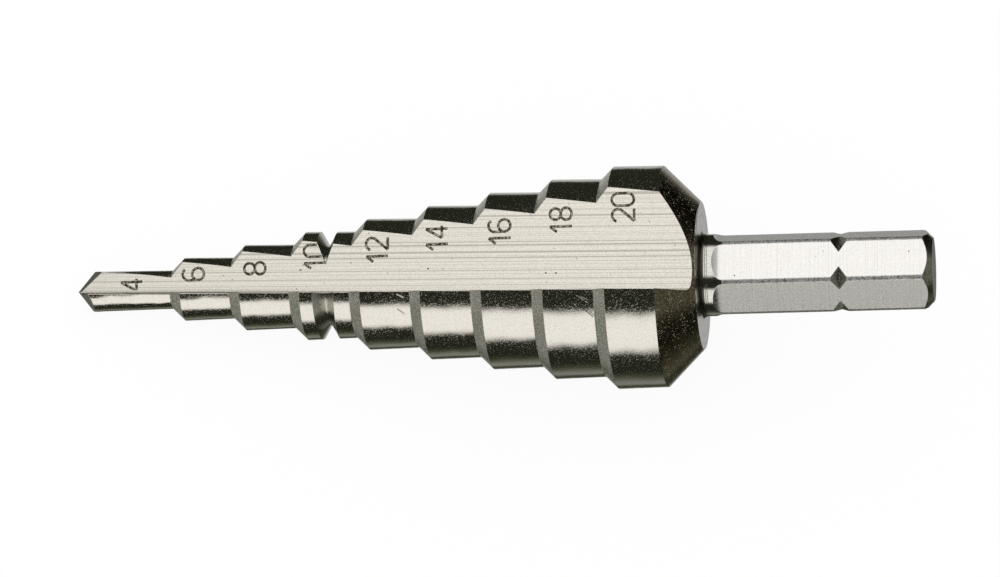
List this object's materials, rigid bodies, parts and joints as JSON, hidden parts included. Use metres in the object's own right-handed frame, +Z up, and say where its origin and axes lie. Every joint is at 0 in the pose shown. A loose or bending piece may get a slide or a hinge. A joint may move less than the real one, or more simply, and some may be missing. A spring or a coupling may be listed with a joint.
{
  "type": "step drill",
  "caption": "Right-hand stepped cone drill for sheet metal, with straight flutes, a ring groove, plain size numbers and a hexagon shank.",
  "frame": {"origin": "centre of the bottom of the drill's box, on the table it lies on, over one of its two flutes", "axes": "+X from the point towards the shank end, level with the table; the drill's own axis climbs 8.35 degrees from it towards the shank. +Z up. The ground face of the open flute leans towards -Y."},
  "size_m": [0.0746, 0.0194, 0.0177],
  "materials": {
    "ground_steel": "ground high-speed steel with fine grinding lines, bright on the flute and the flats, darker on the turned and relieved faces"
  },
  "bodies": {
    "root": {"step_drill": "ground_steel"}
  },
  "joints": []
}
